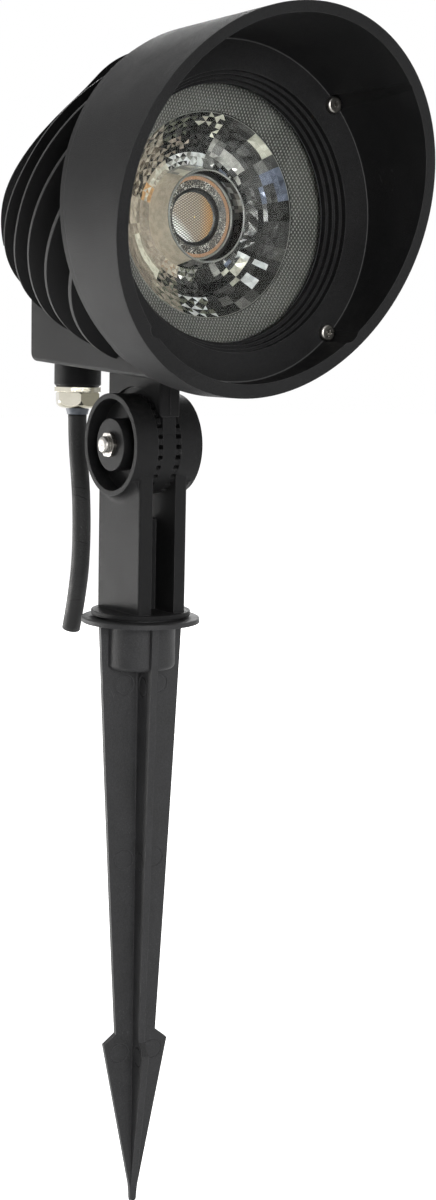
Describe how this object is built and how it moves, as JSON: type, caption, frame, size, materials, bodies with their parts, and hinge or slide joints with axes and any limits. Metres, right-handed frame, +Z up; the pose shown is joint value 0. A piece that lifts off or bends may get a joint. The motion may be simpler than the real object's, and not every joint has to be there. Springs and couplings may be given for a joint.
{
  "type": "garden spike spotlight",
  "caption": "Outdoor spotlight: round finned head with a slanted glare cowl, tilting on a toothed knuckle over a swivelling fork, standing on a barbed ground spike with a cable stub.",
  "frame": {"origin": "where the spike's axis crosses the underside of its flange, which is the ground line", "axes": "+Z up along the spike's axis, -Y the way the lamp shines, +X along the knuckle's bolt"},
  "size_m": [0.1186, 0.1586, 0.4238],
  "materials": {
    "cast_black": "satin black powder coat with a fine texture on die-cast aluminium",
    "spike_plastic": "matte charcoal moulded plastic",
    "brass": "turned",
    "stainless": "plain stainless steel",
    "washer_plastic": "black moulded plastic",
    "silicone": "grey silicone",
    "clear_glass": "clear toughened glass",
    "clear_optic": "clear moulded acrylic",
    "white_plastic": "white",
    "aluminium": "machined",
    "ceramic": "white ceramic package",
    "phosphor": "yellow phosphor layer",
    "board_green": "green board with components",
    "nickel": "bright nickel plating on brass",
    "seal_rubber": "grey seal rubber",
    "cable_rubber": "dull black rubber sheath"
  },
  "bodies": {
    "spike": {"ground_spike": "spike_plastic", "spike_insert": "brass", "swivel_washer": "washer_plastic"},
    "yoke": {"yoke": "cast_black", "knuckle_bolt": "stainless", "knuckle_nut": "stainless", "knuckle_washer": "stainless"},
    "head": {"housing": "cast_black", "cowl": "cast_black", "cowl_screws": "stainless", "glass_gasket": "silicone", "front_glass": "clear_glass", "optic": "clear_optic", "optic_holder": "white_plastic", "led_plate": "aluminium", "plate_screws": "stainless", "thermal_pad": "silicone", "led_board": "white_plastic", "led_emitter": "ceramic", "led_phosphor": "phosphor", "driver_case": "washer_plastic", "driver_board": "board_green", "gland_body": "nickel", "gland_nut": "nickel", "gland_seal": "seal_rubber", "cable_tail": "cable_rubber", "cable": "cable_rubber"}
  },
  "joints": [
    {"name": "yoke_swivel", "type": "hinge", "parent": "spike", "child": "yoke", "pos_m": [0, 0, 0.0025], "axis": [0, 0, 1], "range_deg": [-180, 180]},
    {"name": "head_tilt", "type": "hinge", "parent": "yoke", "child": "head", "pos_m": [0, 0, 0.0637], "axis": [1, 0, 0], "range_deg": [-72, 72], "deforming": ["cable"]}
  ]
}
